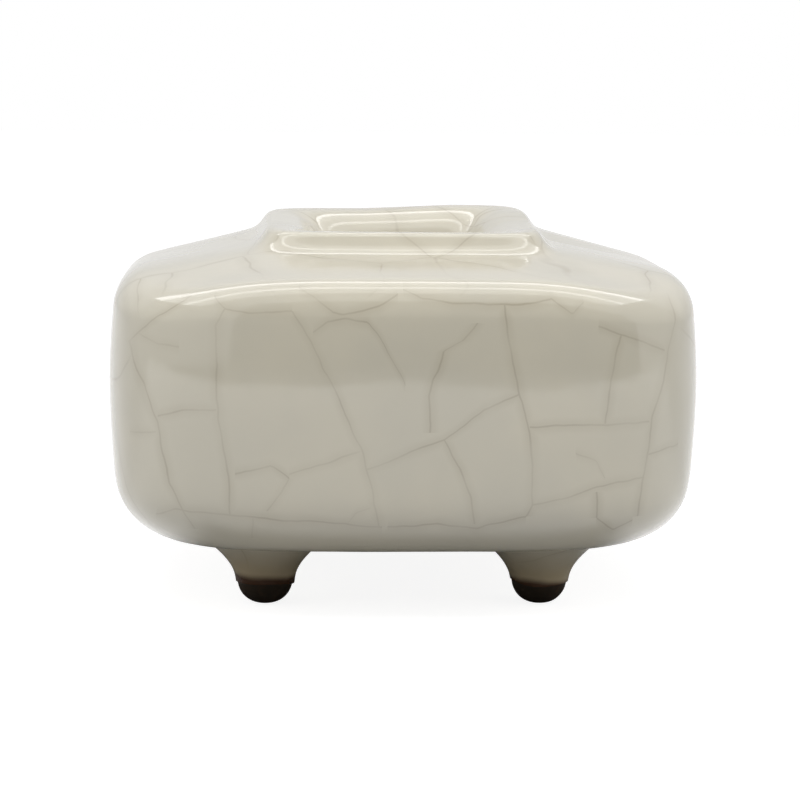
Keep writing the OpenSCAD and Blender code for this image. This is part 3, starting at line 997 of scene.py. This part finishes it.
def glowing_material(name, grey):
    """A dull grey material that glows white: the material, its tree, its glow and the axes of the piece."""
    material = bpy.data.materials.new(name)
    material.use_nodes = True
    tree = material.node_tree
    shader = tree.nodes["Principled BSDF"]
    shader.inputs["Base Color"].default_value = opaque([grey] * 3)
    shader.inputs["Roughness"].default_value = 0.9
    shader.inputs["Specular IOR Level"].default_value = 0
    shader.inputs["Emission Color"].default_value = (1, 1, 1, 1)
    spot = add_node(tree, "ShaderNodeTexCoord").outputs["Object"]
    axes = add_node(tree, "ShaderNodeSeparateXYZ", {0: spot}).outputs
    return material, tree, shader.inputs["Emission Strength"], axes


def add_table(studio):
    """A wide pale table top below the feet, whose glow in the glaze is a painted reflection of a lit table,
    with painted shade below the coupe.
    """
    piece = edit_new_mesh("table")
    bpy.ops.mesh.primitive_grid_add(x_subdivisions=TABLE_CELLS, y_subdivisions=TABLE_CELLS,
                                    size=TABLE_SIZE, location=(0, 0, 0))
    bpy.ops.object.mode_set(mode="OBJECT")
    material, tree, glow, axes = glowing_material("pale_table_painted_shine", studio.table)
    # Painted shade below the coupe and painted light round it, brighter in front, which only reflected rays
    # see
    across, along = (math_of(tree, "ABSOLUTE", axes[axis]) for axis in "XY")
    away = math_of(tree, "MAXIMUM", math_of(tree, "ADD", across, SIDE_SHIFT), along)
    lit = math_of(tree, "MULTIPLY", ramp_of(tree, away, *SHADE_EDGE), ramp_of(tree, axes["Y"], *FRONT_END))
    shine = ramp_of(tree, axes["Y"], *FRONT_TO_SIDES, studio.front_painted_shine, studio.side_painted_shine)
    shine = math_of(tree, "MULTIPLY", shine, lit)
    path = add_node(tree, "ShaderNodeLightPath").outputs
    seen = math_of(tree, "MULTIPLY", path["Is Camera Ray"], studio.table_glow)
    tree.links.new(math_of(tree, "MULTIPLY_ADD", path["Is Glossy Ray"], shine, seen), glow)
    piece.data.materials.append(material)


def add_card(name, card):
    """An upright glowing card that only the glaze mirrors, a painted reflection, with one brightness low
    down and one high up.
    """
    width, height = card.size
    piece = edit_new_mesh(name)
    bpy.ops.mesh.primitive_plane_add(size=1, location=(0, 0, 0), rotation=(math.pi / 2, 0, 0))
    bpy.ops.transform.resize(value=(width, 1, height))
    bpy.ops.transform.translate(value=card.place)
    bpy.ops.object.mode_set(mode="OBJECT")
    # Its glow is a painted reflection, seen only in the glaze
    material, tree, glow, axes = glowing_material(name, 0)
    bottom = card.place[2] - height / 2
    levels = [bottom + part * height for part in CARD_CHANGE]
    tree.links.new(ramp_of(tree, axes["Z"], *levels, card.low, card.high), glow)
    piece.data.materials.append(material)
    piece.visible_camera = False
    piece.visible_diffuse = False
    piece.visible_shadow = False


def add_lamp(name, lamp, power, mirrored=False):
    """A soft light that looks at a point, and that either lights the coupe or is only mirrored in it."""
    light = bpy.data.lights.new(name, "AREA")
    light.shape = "RECTANGLE"
    light.size, light.size_y = lamp.size
    light.energy = power
    holder = bpy.data.objects.new(name, light)
    bpy.context.collection.objects.link(holder)
    holder.visible_glossy = mirrored
    holder.visible_diffuse = not mirrored
    holder.location = lamp.place
    holder.rotation_euler = (Vector(lamp.aim) - Vector(lamp.place)).to_track_quat("-Z", "Y").to_euler()


def add_shine(name, shine, brightness):
    """A level light overhead, between two corners, that is only mirrored in the glaze."""
    size = Vector(shine.high) - Vector(shine.low)
    middle = (Vector(shine.low) + Vector(shine.high)) / 2
    lamp = Lamp(size, (*middle, shine.level), (*middle, RIM))
    add_lamp(name, lamp, LAMP_POWER * brightness * size.x * size.y, mirrored=True)


def add_camera(studio):
    """The camera at the photograph's place."""
    camera = bpy.data.cameras.new("camera")
    camera.sensor_width = SENSOR
    camera.lens = studio.focus * SENSOR / PICTURE
    camera.shift_x = -studio.shift_x / PICTURE
    camera.shift_y = studio.shift_y / PICTURE
    camera.clip_start = 0.01
    holder = bpy.data.objects.new("camera", camera)
    bpy.context.collection.objects.link(holder)
    aim = Vector((0, 0, studio.aim))
    level = math.cos(studio.elevation)
    left, front = math.sin(studio.turn) * level, math.cos(studio.turn) * level
    away = Vector((-left, -front, math.sin(studio.elevation)))
    holder.location = aim + away * studio.distance
    holder.rotation_euler = (-away).to_track_quat("-Z", "Y").to_euler()
    holder.rotation_euler.rotate_axis("Z", studio.roll)
    bpy.context.scene.camera = holder


class COUPE_OT_glaze(bpy.types.Operator):
    """Model the glaze over the body, in the mouth and down the feet"""

    bl_idname = "coupe.glaze"
    bl_label = "Glaze"

    def execute(self, context):
        scene = context.scene
        piece = model_glaze(scene.coupe_body, scene.coupe_mouth, scene.coupe_feet, scene.coupe_glaze)
        piece.data.materials.append(glaze_material(scene.coupe_glaze))
        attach(piece, "root")
        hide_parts("wall_glaze", "base_glaze", "inner_glaze")
        return {"FINISHED"}


class COUPE_OT_feet(bpy.types.Operator):
    """Model the four clay feet with their bare tips"""

    bl_idname = "coupe.feet"
    bl_label = "Feet"

    def execute(self, context):
        clay = context.scene.coupe_clay
        feet = context.scene.coupe_feet
        material = clay_material("bare_clay", clay.dark, clay.brown)
        pattern = model_foot(feet)
        for quarters, node in enumerate(FOOT_NODES):
            piece = place_foot(pattern, node, quarters, feet)
            piece.data.materials.append(material)
            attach(piece, "root")
            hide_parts(node)
        bpy.data.objects.remove(pattern)
        return {"FINISHED"}


class COUPE_OT_clay_body(bpy.types.Operator):
    """Model the clay body under the glaze, in the three pieces it was made of"""

    bl_idname = "coupe.clay_body"
    bl_label = "Clay body"

    def execute(self, context):
        scene = context.scene
        clay = scene.coupe_clay
        material = clay_material("covered_clay", clay.brown, clay.dark)
        pieces = model_clay(scene.coupe_body, scene.coupe_mouth, scene.coupe_glaze)
        for node, piece in pieces.items():
            finish_clay(piece, material)
            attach(piece, "root")
            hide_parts(node)
        return {"FINISHED"}


class COUPE_OT_studio(bpy.types.Operator):
    """Set up the table, the lights and the camera"""

    bl_idname = "coupe.studio"
    bl_label = "Studio"

    def execute(self, context):
        studio = context.scene.coupe_studio
        set_world(studio)
        add_table(studio)
        for name, card in CARDS.items():
            add_card(name, card)
        add_lamp("key", KEY_LAMP, studio.key)
        for name, lamp in SIDE_LAMPS.items():
            add_lamp(name, lamp, studio.side)
        add_shine("softbox", SOFTBOX, studio.softbox)
        add_shine("back_strip", BACK_STRIP, studio.back_strip)
        add_shine("front_strip", FRONT_STRIP, studio.front_strip)
        add_camera(studio)
        context.scene.view_settings.view_transform = "Standard"
        return {"FINISHED"}


class COUPE_PT_panel(bpy.types.Panel):
    """Lists the steps of building the coupe"""

    bl_idname = "COUPE_PT_panel"
    bl_label = "Water Coupe"
    bl_space_type = "VIEW_3D"
    bl_region_type = "UI"
    bl_category = "Coupe"

    def draw(self, context):
        for step in STEPS:
            self.layout.operator(step.bl_idname)


GROUPS = {
    "coupe_body": CoupeBody,
    "coupe_mouth": CoupeMouth,
    "coupe_feet": CoupeFeet,
    "coupe_glaze": CoupeGlaze,
    "coupe_clay": CoupeClay,
    "coupe_studio": CoupeStudio,
}
STEPS = (COUPE_OT_glaze, COUPE_OT_feet, COUPE_OT_clay_body, COUPE_OT_studio)


def register():
    """Register the classes and hang the sizes on the scene."""
    for kind in (*GROUPS.values(), *STEPS, COUPE_PT_panel):
        bpy.utils.register_class(kind)
    for name, kind in GROUPS.items():
        setattr(bpy.types.Scene, name, PointerProperty(type=kind))


def unregister():
    """Take the sizes off the scene and unregister the classes."""
    for name in GROUPS:
        delattr(bpy.types.Scene, name)
    for kind in (COUPE_PT_panel, *reversed(STEPS), *reversed(GROUPS.values())):
        bpy.utils.unregister_class(kind)


def main():
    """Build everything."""
    register()
    bpy.ops.coupe.glaze()
    bpy.ops.coupe.feet()
    bpy.ops.coupe.clay_body()
    bpy.ops.coupe.studio()


if __name__ == "__main__":
    main()
